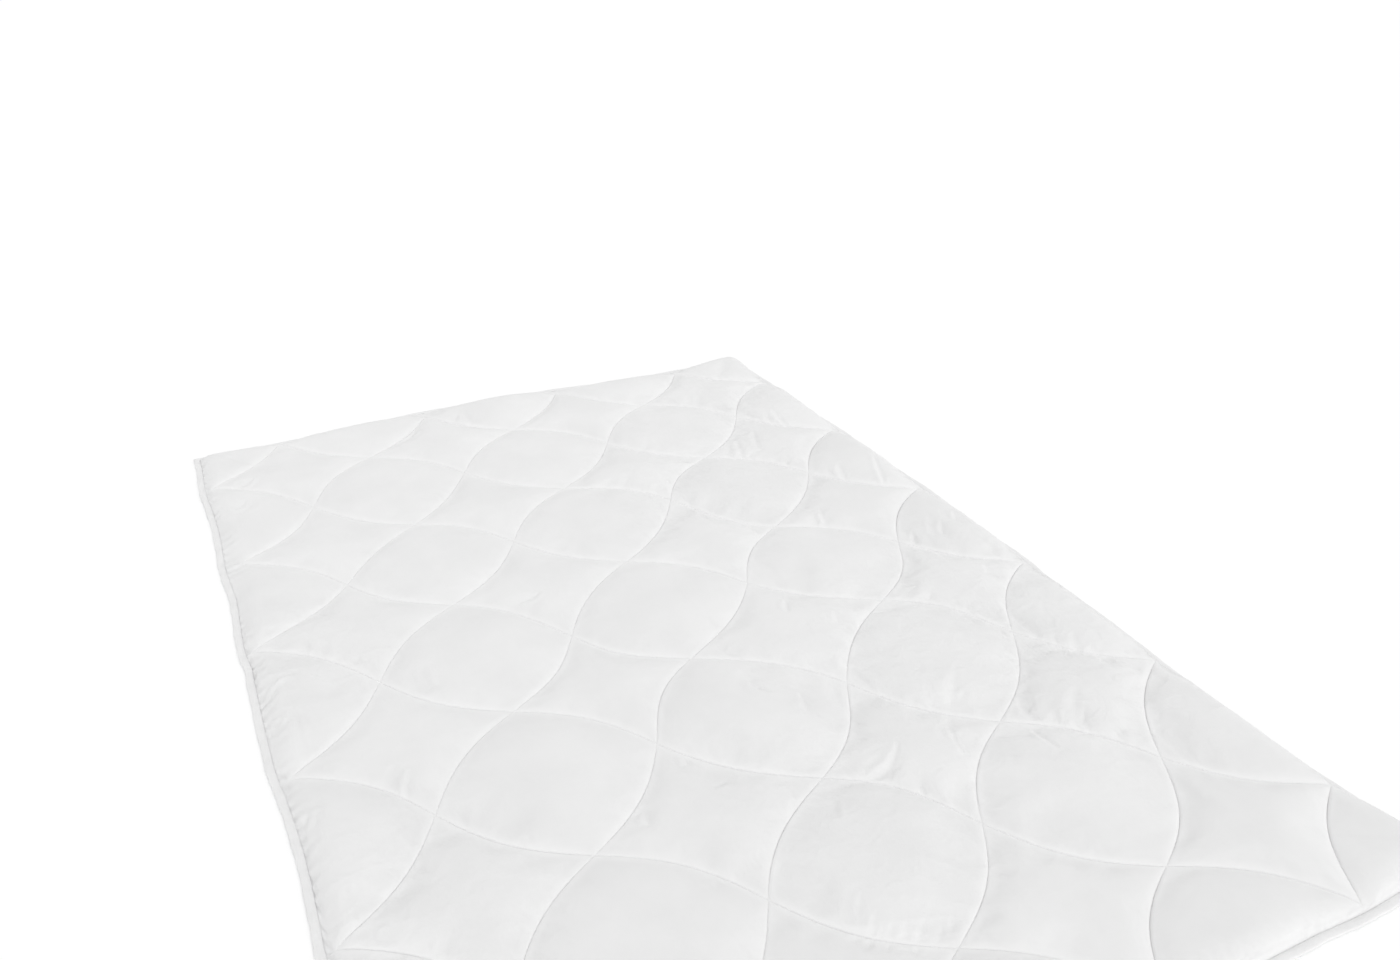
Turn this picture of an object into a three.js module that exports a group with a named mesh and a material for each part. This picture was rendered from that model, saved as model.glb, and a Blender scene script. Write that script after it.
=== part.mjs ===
import * as THREE from "three";
import { mergeVertices } from "three/addons/utils/BufferGeometryUtils.js";

// A lightly filled duvet lying flat. Wavy lines of stitches cross it both ways and part the filling
// into round and waisted cells, and a folded tape binds its edge. Millimetres, +Z up.
// The origin is on the surface that it lies on, under its middle, and +Y runs along its length.

// Size over the binding
const WIDTH = 1350;
const LENGTH = 2000;

// The quilting is drawn on a grid of squares, each crossed by one line of stitches from corner to corner.
// Grid points are counted from the middle of the duvet, and those with an odd sum are stitch crossings.
const COLUMNS = 8;
const ROWS = 12;
const PITCH = 163;
const WAVE_SWING = 0.085;

// Heights of the two shells over the surface
const STITCH_TOP = 11.5;
const STITCH_BOTTOM = 8;
const CROWN = 12;
const CROWN_ROUNDING = 0.5;
const FULLNESS = { spread: 0.1, beatA: 2.1, beatB: 3.7, sideTrend: 0.2, rim: 0.4, rimReach: 160 };
const CHANNEL_REACH = 0.35;

// Cells that are higher or lower than the rest: the middle in grid squares and the height
const SWELL_REACH = 0.9;
const SWELLS = [
  { i: -4.0, j: 6.0, height: -6 },
  { i: -1.2, j: 6.0, height: 5 },
  { i: 0.3, j: 6.0, height: 9 },
  { i: 2.0, j: 6.0, height: 6 },
  { i: 4.0, j: 4.0, height: 5 },
  { i: 4.0, j: 2.0, height: 5 },
  { i: 4.0, j: 0.0, height: 3 },
  { i: 4.0, j: -2.0, height: -8 },
];

// Both shells roll down to a thin lip over this distance, and the binding is folded over the lip
const EDGE_ROLL = 32;
const GENTLE_ROLL = { roll: 90, at: 2.0, reach: 0.8 };
const LIP = { depth: 8.7, bottom: 1.6, top: 3.6 };
const BINDING = { width: 12, height: 5.2, fold: 1.6, foldSteps: 4 };
const GAP = 0.3;
const EDGE_SCALLOP = 5;
const LEAST_MARGIN = 4;
const SHOULDER = 4;

// Where the cloth lies out of true: the middle in grid squares, how far it reaches and what it moves by
const PULLS = [
  { i: 2.4, j: -3.8, reach: 2.7, x: -15, y: -24 },
  { i: 4.4, j: -4.5, reach: 3.0, x: -14, y: 0 },
  { i: 0.0, j: -3.0, reach: 1.4, x: 13, y: -6 },
  { i: 0.0, j: -1.0, reach: 1.5, x: -27, y: 2 },
  { i: 2.0, j: -1.0, reach: 1.5, x: 21, y: 8 },
  { i: -1.0, j: 0.0, reach: 1.4, x: -13, y: -16 },
  { i: 2.0, j: 1.0, reach: 1.5, x: -17, y: -8 },
  { i: -4.0, j: 1.0, reach: 1.4, x: -5, y: 13 },
  { i: 1.0, j: 2.0, reach: 1.4, x: 12, y: 20 },
  { i: -3.0, j: 3.0, reach: 2.0, x: 22, y: -26 },
  { i: 3.0, j: 5.5, reach: 1.6, x: -10, y: -12 },
];

// The long edge on the +X side bends inward towards the near end
const EDGE_BEND = { inward: 34, from: -100, to: -500 };

// Shares of the way from a line of stitches to the middle of a cell, where the shells have points
const TOP_STEPS = [0, 0.12, 0.32, 0.62, 1];
const BOTTOM_STEPS = [0, 0.16, 0.45, 1];

const halfColumns = COLUMNS / 2;
const halfRows = ROWS / 2;
const sideMargin = WIDTH / 2 - halfColumns * PITCH - BINDING.width;
const endMargin = LENGTH / 2 - halfRows * PITCH - BINDING.width;
const roundTheGrid = 2 * (COLUMNS + ROWS);

// Cell coordinates: each line of stitches has a whole number for one of the two
function cellCoordinates(spot) {
  return { a: (1 + spot.x + spot.y) / 2, b: (1 - spot.x + spot.y) / 2 };
}

function isCrossing(spot) {
  return Math.abs(spot.x + spot.y) % 2 === 1;
}

// Where a grid point lies on the real duvet, with the wave of the stitches and the pulls in the cloth
function lay(spot) {
  const { a, b } = cellCoordinates(spot);
  const waveA = WAVE_SWING * Math.cos(Math.PI * a) * Math.sin(Math.PI * b);
  const waveB = WAVE_SWING * Math.cos(Math.PI * b) * Math.sin(Math.PI * a);
  const laid = new THREE.Vector2(a - waveA - b + waveB, a - waveA + b - waveB - 1).multiplyScalar(PITCH);
  for (const pull of PULLS) {
    const away = Math.hypot(spot.x - pull.i, spot.y - pull.j) / pull.reach;
    const share = away < 1 ? (1 - away * away) ** 2 : 0;
    laid.x += pull.x * share;
    laid.y += pull.y * share;
  }
  return laid;
}

// 0 on a line of stitches, 1 in the middle of a cell
function loft(spot) {
  const { a, b } = cellCoordinates(spot);
  return Math.abs(Math.sin(Math.PI * a) * Math.sin(Math.PI * b));
}

// Some cells hold a little more filling than others, most of all on the +X side and along the edges
function fullness(spot) {
  const { a, b } = cellCoordinates(spot);
  const { spread, beatA, beatB, sideTrend, rim, rimReach } = FULLNESS;
  const cell = 1 + spread * Math.sin(beatA * Math.floor(a) + beatB * Math.floor(b));
  const fromRim = Math.min(halfColumns - Math.abs(spot.x), halfRows - Math.abs(spot.y)) * PITCH;
  const nearRim = 1 + rim * Math.max(0, 1 - fromRim / rimReach);
  return cell * nearRim * (1 + (sideTrend * spot.x) / halfColumns);
}

function swelling(spot) {
  return SWELLS.reduce((height, swell) => {
    const away = Math.hypot(spot.x - swell.i, spot.y - swell.j) / SWELL_REACH;
    return height + swell.height * Math.exp(-away * away);
  }, 0);
}

// 0 at the lip, 1 where the duvet has its full thickness
function roll(depth, reach) {
  const left = Math.max(0, 1 - depth / reach);
  return Math.sqrt(1 - left * left);
}

// Rises from the lip at a slant instead of upright
function softRoll(depth, reach) {
  return Math.sin((Math.PI / 2) * Math.min(1, depth / reach));
}

// The -X side is soft, and the far end falls away more gently in one cell beside its middle
function edgeRoll(spot, sides, ends) {
  const fromSide = (halfColumns - Math.abs(spot.x)) * PITCH + sides;
  const fromEnd = (halfRows - Math.abs(spot.y)) * PITCH + ends;
  const gentle = spot.y > 0 ? Math.exp(-(((spot.x - GENTLE_ROLL.at) / GENTLE_ROLL.reach) ** 2)) : 0;
  const side = spot.x < 0 ? softRoll(fromSide, EDGE_ROLL) : roll(fromSide, EDGE_ROLL);
  return side * roll(fromEnd, EDGE_ROLL + (GENTLE_ROLL.roll - EDGE_ROLL) * gentle);
}

function topHeight(spot, sides = sideMargin, ends = endMargin) {
  const crown = (CROWN * fullness(spot) + swelling(spot)) * loft(spot) ** CROWN_ROUNDING;
  return LIP.top + (STITCH_TOP + crown - LIP.top) * edgeRoll(spot, sides, ends);
}

function bottomHeight(spot) {
  const lifted = Math.max(0, 1 - loft(spot) / CHANNEL_REACH) ** 2;
  return STITCH_BOTTOM * lifted * edgeRoll(spot, sideMargin, endMargin);
}

function onShell(spot, height) {
  const laid = lay(spot);
  return new THREE.Vector3(laid.x, laid.y, height(spot));
}

// The half of a grid square between a line of stitches and the middle of the cell beside it
function halfSquare(start, middle, end, steps, height) {
  const rows = steps.length - 1;
  const point = (row, k) => {
    const alongStitches = row < rows ? start.clone().lerp(end, k / (rows - row)) : start.clone();
    return onShell(alongStitches.lerp(middle, steps[row]), height);
  };
  const triangles = [];
  for (let row = 0; row < rows; row += 1) {
    for (let k = 0; k < rows - row; k += 1) {
      triangles.push([point(row, k), point(row + 1, k), point(row, k + 1)]);
      if (k + 1 < rows - row) {
        triangles.push([point(row + 1, k), point(row + 1, k + 1), point(row, k + 1)]);
      }
    }
  }
  return triangles;
}

// One quilted shell, facing up
function shell(steps, height) {
  const triangles = [];
  for (let i = -halfColumns; i < halfColumns; i += 1) {
    for (let j = -halfRows; j < halfRows; j += 1) {
      const corners = [[0, 0], [1, 0], [1, 1], [0, 1]].map(([x, y]) => new THREE.Vector2(i + x, j + y));
      const first = isCrossing(corners[0]) ? 0 : 1;
      const [start, right, end, left] = [0, 1, 2, 3].map((k) => corners[(first + k) % 4]);
      triangles.push(...halfSquare(start, right, end, steps, height));
      triangles.push(...halfSquare(end, left, start, steps, height));
    }
  }
  return triangles;
}

// Grid points round the quilting, anticlockwise, with the distance gone round
function borderSpots(steps) {
  const spots = [];
  const corners = [[-1, -1], [1, -1], [1, 1], [-1, 1]].map(
    ([x, y]) => new THREE.Vector2(x * halfColumns, y * halfRows),
  );
  corners.forEach((corner, side) => {
    const next = corners[(side + 1) % corners.length];
    const count = Math.round(corner.distanceTo(next));
    for (let k = 0; k < count; k += 1) {
      const start = corner.clone().lerp(next, k / count).round();
      const end = corner.clone().lerp(next, (k + 1) / count).round();
      const shares = isCrossing(start) ? steps : steps.map((step) => 1 - step).reverse();
      const squaresPassed = spots.length / (steps.length - 1);
      for (const share of shares.slice(0, -1)) {
        spots.push({ spot: start.clone().lerp(end, share), at: squaresPassed + share });
      }
    }
  });
  return spots;
}

// Where the shells meet the binding's inner edge: the line draws in between the stitch crossings
function seamPoint(spot) {
  const laid = lay(spot);
  const atSide = Math.abs(spot.x) === halfColumns;
  const atEnd = Math.abs(spot.y) === halfRows;
  const fromCrossing = Math.abs(((spot.x + spot.y) % 2 + 2) % 2 - 1);
  const scallop = EDGE_SCALLOP * Math.sin((Math.PI / 2) * fromCrossing) ** 2;
  const bend = spot.x > 0 ? THREE.MathUtils.smoothstep(-laid.y, -EDGE_BEND.from, -EDGE_BEND.to) : 0;
  const sideLine = WIDTH / 2 - BINDING.width - scallop - EDGE_BEND.inward * bend;
  const endLine = LENGTH / 2 - BINDING.width - scallop;
  return new THREE.Vector2(
    atSide ? Math.sign(spot.x) * Math.max(sideLine, Math.abs(laid.x) + LEAST_MARGIN) : laid.x,
    atEnd ? Math.sign(spot.y) * Math.max(endLine, Math.abs(laid.y) + LEAST_MARGIN) : laid.y,
  );
}

// A ring of points parallel to the seam line, at a distance outside it
function parallelRing(outward, height) {
  const normal = (from, to) => new THREE.Vector2(to.y - from.y, from.x - to.x).normalize();
  return seamLine.map(({ spot, at, seam }, k) => {
    const before = normal(seamLine.at(k - 1).seam, seam);
    const after = normal(seam, seamLine[(k + 1) % seamLine.length].seam);
    const mitre = before.clone().add(after).divideScalar(1 + before.dot(after));
    const moved = seam.clone().addScaledVector(mitre, outward);
    return { point: new THREE.Vector3(moved.x, moved.y, height(spot)), at };
  });
}

// The ring of points where a shell's quilting ends
function borderRing(border, height) {
  return border.map(({ spot, at }) => ({ point: onShell(spot, height), at }));
}

// Triangles between two rings that run anticlockwise, stepping along whichever is behind
function bridge(inner, outer) {
  const place = (ring, k) => (k < ring.length ? ring[k].at : roundTheGrid);
  const point = (ring, k) => ring[k % ring.length].point;
  const triangles = [];
  let n = 0;
  let m = 0;
  while (n < inner.length || m < outer.length) {
    const stepOuter = n === inner.length || (m < outer.length && place(outer, m + 1) <= place(inner, n + 1));
    if (stepOuter) {
      triangles.push([point(inner, n), point(outer, m), point(outer, m + 1)]);
      m += 1;
    } else {
      triangles.push([point(inner, n), point(outer, m), point(inner, n + 1)]);
      n += 1;
    }
  }
  return triangles;
}

function bridgeAll(rings) {
  return rings.slice(1).flatMap((ring, k) => bridge(rings[k], ring));
}

function solid(name, triangles, material) {
  const geometry = new THREE.BufferGeometry().setFromPoints(triangles.flat());
  const mesh = new THREE.Mesh(mergeVertices(geometry, 0.0001), material);
  mesh.name = name;
  return mesh;
}

const topBorder = borderSpots(TOP_STEPS);
const bottomBorder = borderSpots(BOTTOM_STEPS);
const seamLine = topBorder.map(({ spot, at }) => ({ spot, at, seam: seamPoint(spot) }));

// Two shells of cloth and the filling between them, stitched through
function makeQuilt(material) {
  const upper = shell(TOP_STEPS, topHeight);
  const lower = shell(BOTTOM_STEPS, bottomHeight).map(([a, b, c]) => [a, c, b]);
  const rim = bridgeAll([
    borderRing(topBorder, topHeight),
    parallelRing(-SHOULDER, (spot) => topHeight(spot, SHOULDER, SHOULDER)),
    parallelRing(0, () => LIP.top),
    parallelRing(LIP.depth, () => LIP.top),
    parallelRing(LIP.depth, () => LIP.bottom),
    parallelRing(0, () => LIP.bottom),
    borderRing(bottomBorder, bottomHeight),
  ]);
  return solid("quilt", [...upper, ...rim, ...lower], material);
}

// One length of tape folded over the lip, all the way round, as a section that follows the seam line
function makeBinding(material) {
  const { width, height, fold, foldSteps } = BINDING;
  const outerFold = Array.from({ length: foldSteps + 1 }, (_, k) => {
    const angle = Math.PI * (0.5 - k / foldSteps);
    return { out: width - fold + fold * Math.cos(angle), up: (height / 2) * (1 + Math.sin(angle)) };
  });
  const slotEnd = LIP.depth + GAP;
  const section = [
    { out: GAP, up: height },
    ...outerFold,
    { out: GAP, up: 0 },
    { out: GAP, up: LIP.bottom - GAP },
    { out: slotEnd, up: LIP.bottom - GAP },
    { out: slotEnd, up: LIP.top + GAP },
    { out: GAP, up: LIP.top + GAP },
  ];
  const rings = section.map(({ out, up }) => parallelRing(out, () => up));
  return solid("edge_binding", bridgeAll([...rings, rings[0]]), material);
}

const shellCloth = new THREE.MeshStandardMaterial({ color: 0xf2f2f0, roughness: 0.85, metalness: 0 });
const bindingCloth = new THREE.MeshStandardMaterial({ color: 0xf4f4f2, roughness: 0.8, metalness: 0 });

const duvet = new THREE.Group();
duvet.name = "duvet";
duvet.add(makeQuilt(shellCloth), makeBinding(bindingCloth));

export default duvet;
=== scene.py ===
# %% [markdown]
# A quilted duvet, lying flat
#
# This lesson dresses a thin white duvet: two shells of smooth cloth with a filling between them, sewn
# through in wavy lines, and a folded tape sewn round the edge. The solids of the frame give its size and
# place, in metres, with +Y along its length and the floor at height zero. Here it gets its real surface:
# crowned cells, puckers, a tape with its folds, and every stitch of thread.

# %% Load the frame
from collections import namedtuple
import math

import bpy
import numpy as np
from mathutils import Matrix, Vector


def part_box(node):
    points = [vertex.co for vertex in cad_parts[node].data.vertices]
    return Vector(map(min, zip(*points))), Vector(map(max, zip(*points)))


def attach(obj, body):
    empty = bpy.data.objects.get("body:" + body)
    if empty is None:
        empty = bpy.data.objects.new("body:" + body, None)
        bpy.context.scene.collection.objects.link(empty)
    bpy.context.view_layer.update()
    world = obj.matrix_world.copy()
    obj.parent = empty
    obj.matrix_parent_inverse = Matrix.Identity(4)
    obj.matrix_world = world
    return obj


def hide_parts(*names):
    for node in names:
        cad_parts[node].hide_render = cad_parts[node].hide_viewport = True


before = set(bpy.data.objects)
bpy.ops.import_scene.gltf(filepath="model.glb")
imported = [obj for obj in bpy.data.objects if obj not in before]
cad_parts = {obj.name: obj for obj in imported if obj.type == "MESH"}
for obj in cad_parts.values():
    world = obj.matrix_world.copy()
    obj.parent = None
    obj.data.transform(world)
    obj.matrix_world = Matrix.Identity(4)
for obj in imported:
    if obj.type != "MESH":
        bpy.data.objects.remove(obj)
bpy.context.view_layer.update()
tape_low, tape_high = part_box("edge_binding")

# %% [markdown]
# The camera stands low, to the left of the near end, and looks along the duvet over its left long edge.
# Its place was worked out from where the lines of stitches cross in the photograph, which form an even
# grid on the real thing. A lens is given by its angle of view, so the focal length in pixels of a picture
# 1400 pixels wide becomes a focal length in millimetres on a sensor 36 millimetres wide.

# %% Camera
CAMERA_PLACE = Vector((-0.7007, -1.5426, 1.1173))
CAMERA_DIRECTION = Vector((0.3979, 0.7973, -0.4539))
FOCAL_PIXELS = 1163.87
PHOTO_PIXELS = 1400
SENSOR = 36
FARTHEST_SEEN = 400

bpy.ops.object.camera_add(
    location=CAMERA_PLACE,
    rotation=CAMERA_DIRECTION.to_track_quat("-Z", "Y").to_euler(),
)
camera = bpy.context.object
camera.name = "camera"
camera.data.sensor_width = SENSOR
camera.data.lens = FOCAL_PIXELS * SENSOR / PHOTO_PIXELS
camera.data.clip_end = FARTHEST_SEEN
bpy.context.scene.camera = camera
print("the lens is", round(camera.data.lens, 2), "mm")

# %% [markdown]
# The light is that of a white studio: it comes from all sides, and a little more of it from the near side.
# A wide sun gives that share with soft shadows and without the bright spot of a lamp close by. The side
# of each cell that faces the near end catches it, which helps to draw the lines that run across. The
# light was fitted together with the whites of the cloth, by rendering and comparing tones. Each can stand
# in for the other, so neither is a measurement.

# %% Studio light
SUN_FROM = math.radians(9)
SUN_HEIGHT = math.radians(40)
SUN_WIDTH = math.radians(30)
SUN_DISTANCE = 4
SUN_STRENGTH = 1.00
SKY_STRENGTH = 0.856

to_sun = Vector((
    math.sin(SUN_FROM) * math.cos(SUN_HEIGHT),
    -math.cos(SUN_FROM) * math.cos(SUN_HEIGHT),
    math.sin(SUN_HEIGHT),
))
bpy.ops.object.light_add(
    type="SUN",
    location=to_sun * SUN_DISTANCE,
    rotation=to_sun.to_track_quat("Z", "Y").to_euler(),
)
sun = bpy.context.object
sun.name = "studio_lamp"
sun.data.energy = SUN_STRENGTH
sun.data.angle = SUN_WIDTH

studio = bpy.data.worlds.new("white_studio")
studio.use_nodes = True
studio.node_tree.nodes["Background"].inputs["Color"].default_value = (1, 1, 1, 1)
studio.node_tree.nodes["Background"].inputs["Strength"].default_value = SKY_STRENGTH
bpy.context.scene.world = studio
bpy.context.scene.view_settings.view_transform = "Standard"
print("the light comes from", [round(part, 2) for part in to_sun])

# %% [markdown]
# The floor is a plain white plane, so large that its far edge stays out of the picture. It lies a hair
# under the duvet, because two faces in the same place would flicker.

# %% Floor
FLOOR_SIZE = 80
FLOOR_DROP = 0.0003

bpy.ops.mesh.primitive_plane_add(size=FLOOR_SIZE, location=(0, 0, -FLOOR_DROP))
floor = bpy.context.object
floor.name = "floor"
print("the floor is", FLOOR_SIZE, "metres wide")

# %% [markdown]
# How the quilting is laid out
#
# The stitches run in wavy lines, from side to side and from end to end. On a sheet of squared paper each
# line would go from corner to corner of the squares, so every spot on the duvet gets two numbers: i counts
# squares across and j counts them along, from the middle. A formula then bends the straight lines into
# waves, and a few pulls shift the cloth to where the photograph shows it. The moves of the pulls follow
# how far 41 crossings of the stitches lie from the even grid. The same numbers shaped the frame's solid.

# %% Quilting grid
WIDTH = tape_high.x - tape_low.x
LENGTH = tape_high.y - tape_low.y
COLUMNS = 8
ROWS = 12
PITCH = 0.163
WAVE_SWING = 0.085

# Where the cloth lies out of true: the middle in squares, its reach in squares, and the move in metres
Pull = namedtuple("Pull", "i j reach x y")
PULLS = [
    Pull(2.4, -3.8, 2.7, -0.015, -0.024),
    Pull(4.4, -4.5, 3.0, -0.014, 0.000),
    Pull(0.0, -3.0, 1.4, 0.013, -0.006),
    Pull(0.0, -1.0, 1.5, -0.027, 0.002),
    Pull(2.0, -1.0, 1.5, 0.021, 0.008),
    Pull(-1.0, 0.0, 1.4, -0.013, -0.016),
    Pull(2.0, 1.0, 1.5, -0.017, -0.008),
    Pull(-4.0, 1.0, 1.4, -0.005, 0.013),
    Pull(1.0, 2.0, 1.4, 0.012, 0.020),
    Pull(-3.0, 3.0, 2.0, 0.022, -0.026),
    Pull(3.0, 5.5, 1.6, -0.010, -0.012),
]


def cell_coordinates(i, j):
    """Each line of stitches has a whole number for one of the two."""
    return (1 + i + j) / 2, (1 - i + j) / 2


def lay(i, j):
    """Where a spot of the grid lies, in metres."""
    a, b = cell_coordinates(i, j)
    wavy_a = a - WAVE_SWING * np.cos(np.pi * a) * np.sin(np.pi * b)
    wavy_b = b - WAVE_SWING * np.cos(np.pi * b) * np.sin(np.pi * a)
    x = (wavy_a - wavy_b) * PITCH
    y = (wavy_a + wavy_b - 1) * PITCH
    for pull in PULLS:
        away = np.hypot(i - pull.i, j - pull.j) / pull.reach
        share = np.clip(1 - away**2, 0, 1) ** 2
        x = x + pull.x * share
        y = y + pull.y * share
    return x, y


def loft(i, j):
    """0 on a line of stitches, 1 in the middle of a cell."""
    a, b = cell_coordinates(i, j)
    return np.abs(np.sin(np.pi * a) * np.sin(np.pi * b))


print("the cells are", round(2 * PITCH, 3), "metres from middle to middle")

# %% [markdown]
# The creases
#
# A few dozen creases can be told apart in the photograph, most of them in the right half and along the
# edges. Each one is written down here with its middle, the way it runs, its length, the width and depth of
# its fold, and how far its ends bend to the left. The ends were picked in the photograph and turned
# into places on the duvet with the camera above, which gave most of the middles and turns. The lengths,
# widths, depths and bends were chosen one by one. A soft ridge stands on the right side of a fold, as where
# cloth is pushed up. A negative depth turns the fold into a ridge.

# %% Table of creases
CREASE_STRENGTH = 0.7
RIDGE_HEIGHT = 0.4
RIDGE_ASIDE = 1.9
END_WIDTH = 0.45
CREASE_SIDE = 2.6

Crease = namedtuple("Crease", "x y turn length width depth bend")
CREASES = [
    Crease(0.614, 0.246, -110, 0.118, 0.0055, 0.0050, 0.000),
    Crease(0.544, 0.280, -106, 0.075, 0.0070, 0.0035, 0.003),
    Crease(0.518, -0.012, -119, 0.060, 0.0050, 0.0038, 0.000),
    Crease(0.581, -0.014, -122, 0.050, 0.0050, 0.0032, 0.000),
    Crease(0.628, 0.007, -123, 0.050, 0.0050, 0.0035, 0.000),
    Crease(0.562, -0.168, -117, 0.040, 0.0050, 0.0026, 0.000),
    Crease(0.409, -0.139, -34, 0.032, 0.0050, 0.0028, 0.000),
    Crease(0.469, -0.328, -108, 0.042, 0.0050, 0.0032, 0.000),
    Crease(0.437, -0.279, -84, 0.032, 0.0050, 0.0026, 0.000),
    Crease(0.240, -0.177, -107, 0.036, 0.0050, 0.0026, 0.000),
    Crease(0.545, -0.418, -126, 0.078, 0.0080, 0.0034, 0.000),
    Crease(0.562, -0.450, -107, 0.060, 0.0060, 0.0032, 0.003),
    Crease(0.293, -0.421, -131, 0.085, 0.0090, 0.0040, 0.004),
    Crease(0.364, -0.510, -96, 0.048, 0.0060, 0.0038, 0.000),
    Crease(0.340, -0.574, -95, 0.068, 0.0050, 0.0045, 0.003),
    Crease(0.422, -0.547, -128, 0.100, 0.0100, 0.0040, 0.006),
    Crease(0.223, -0.520, -107, 0.072, 0.0050, 0.0038, 0.002),
    Crease(0.097, -0.528, -160, 0.115, 0.0060, 0.0042, -0.022),
    Crease(0.117, -0.591, -96, 0.026, 0.0050, 0.0026, 0.000),
    Crease(-0.071, -0.717, -130, 0.048, 0.0040, 0.0014, 0.000),
    Crease(-0.078, -0.752, -134, 0.060, 0.0040, 0.0016, 0.002),
    Crease(-0.062, -0.768, -136, 0.052, 0.0040, 0.0014, 0.001),
    Crease(-0.047, -0.775, -133, 0.044, 0.0040, 0.0012, 0.000),
    Crease(-0.030, -0.782, -137, 0.060, 0.0040, 0.0016, 0.002),
    Crease(-0.012, -0.796, -135, 0.054, 0.0040, 0.0014, 0.001),
    Crease(-0.024, -0.826, -141, 0.036, 0.0040, 0.0014, 0.000),
    Crease(0.012, -0.788, -131, 0.040, 0.0040, 0.0012, 0.000),
    Crease(0.407, 0.477, -105, 0.095, 0.0070, 0.0042, 0.000),
    Crease(0.454, 0.495, -109, 0.105, 0.0070, 0.0036, 0.004),
    Crease(0.467, 0.372, -94, 0.060, 0.0060, 0.0032, 0.000),
    Crease(0.566, 0.582, -94, 0.105, 0.0060, 0.0028, 0.000),
    Crease(0.406, 0.136, -108, 0.050, 0.0050, 0.0034, 0.000),
    Crease(0.264, 0.154, -82, 0.060, 0.0060, 0.0034, 0.006),
    Crease(0.178, -0.113, -114, 0.050, 0.0050, 0.0032, 0.000),
    Crease(0.031, -0.172, -75, 0.044, 0.0060, 0.0022, 0.000),
    Crease(0.025, -0.285, -74, 0.052, 0.0060, 0.0034, 0.008),
    Crease(0.073, -0.345, -107, 0.050, 0.0050, 0.0034, 0.000),
    Crease(-0.003, -0.569, -115, 0.050, 0.0050, -0.0022, 0.000),
    Crease(-0.141, -0.375, -87, 0.036, 0.0050, 0.0028, 0.000),
    Crease(-0.126, -0.454, 16, 0.028, 0.0045, 0.0022, 0.000),
    Crease(-0.239, -0.462, -98, 0.036, 0.0050, 0.0032, 0.000),
    Crease(-0.203, 0.110, 11, 0.046, 0.0050, 0.0026, 0.003),
    Crease(-0.413, -0.029, -93, 0.060, 0.0070, -0.0022, 0.000),
    Crease(-0.513, -0.252, -114, 0.056, 0.0060, -0.0032, 0.000),
    Crease(-0.604, -0.498, -86, 0.030, 0.0050, 0.0022, 0.000),
    Crease(-0.654, -0.272, 65, 0.060, 0.0050, 0.0040, -0.004),
    Crease(-0.640, 0.050, 23, 0.065, 0.0060, -0.0042, 0.000),
    Crease(-0.650, -0.037, 25, 0.032, 0.0050, 0.0032, 0.000),
    Crease(-0.608, 0.686, 54, 0.050, 0.0060, 0.0034, 0.000),
    Crease(-0.582, 0.798, 32, 0.046, 0.0060, 0.0034, 0.000),
    Crease(-0.224, 0.871, 43, 0.056, 0.0060, 0.0040, 0.000),
    Crease(-0.079, 0.907, -82, 0.056, 0.0080, 0.0034, 0.000),
]


def beside_crease(crease, x, y):
    """How far along a crease and how far to its left the places are."""
    turn = math.radians(crease.turn)
    along = (x - crease.x) * math.cos(turn) + (y - crease.y) * math.sin(turn)
    across = (y - crease.y) * math.cos(turn) - (x - crease.x) * math.sin(turn)
    return along, across - crease.bend * (2 * along / crease.length) ** 2


def crease_height(x, y):
    height = np.zeros(len(x))
    for crease in CREASES:
        along, across = beside_crease(crease, x, y)
        fade = np.clip(1 - (2 * along / crease.length) ** 2, 0, 1)
        width = crease.width * (END_WIDTH + (1 - END_WIDTH) * fade)
        fold = np.exp(-((across / width) ** 2))
        ridge = np.exp(-((across / width + RIDGE_ASIDE) ** 2))
        height += CREASE_STRENGTH * crease.depth * fade * (RIDGE_HEIGHT * ridge - fold)
    return height


print("there are", len(CREASES), "creases")

# %% [markdown]
# The upper shell starts as a flat grid
#
# A plain grid of squares would cross the stitches at odd angles and turn each line into a saw edge. So the
# grid is drawn in cell coordinates, where the lines of stitches are straight and fall on its own lines,
# and its squares get smaller towards them. It is then turned by 45 degrees and cut along the four edges.
# The squares under the creases are cut into nine, because a narrow fold needs more points than flat cloth.

# %% Draw and cut the grid
CELL_SIDE = PITCH * math.sqrt(2)
UPPER_STEPS = ([0.0, 0.0010, 0.0025, 0.0060], 15)
LOWER_STEPS = ([0.0, 0.0060], 6)
REACH = 5
TINY = 1e-4


def get_places(piece):
    flat = np.empty(3 * len(piece.data.vertices))
    piece.data.vertices.foreach_get("co", flat)
    return flat.reshape(-1, 3)


def set_places(piece, places):
    piece.data.vertices.foreach_set("co", np.asarray(places, float).ravel())
    piece.data.update()


def pick(piece):
    """Selects one piece alone and makes it the active one."""
    bpy.ops.object.select_all(action="DESELECT")
    piece.select_set(True)
    bpy.context.view_layer.objects.active = piece


def edit(piece, kind):
    """Opens one piece in edit mode, with all of it selected."""
    pick(piece)
    bpy.ops.object.mode_set(mode="EDIT")
    bpy.ops.mesh.select_mode(type=kind)
    bpy.ops.mesh.select_all(action="SELECT")


def done():
    bpy.ops.object.mode_set(mode="OBJECT")


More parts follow.
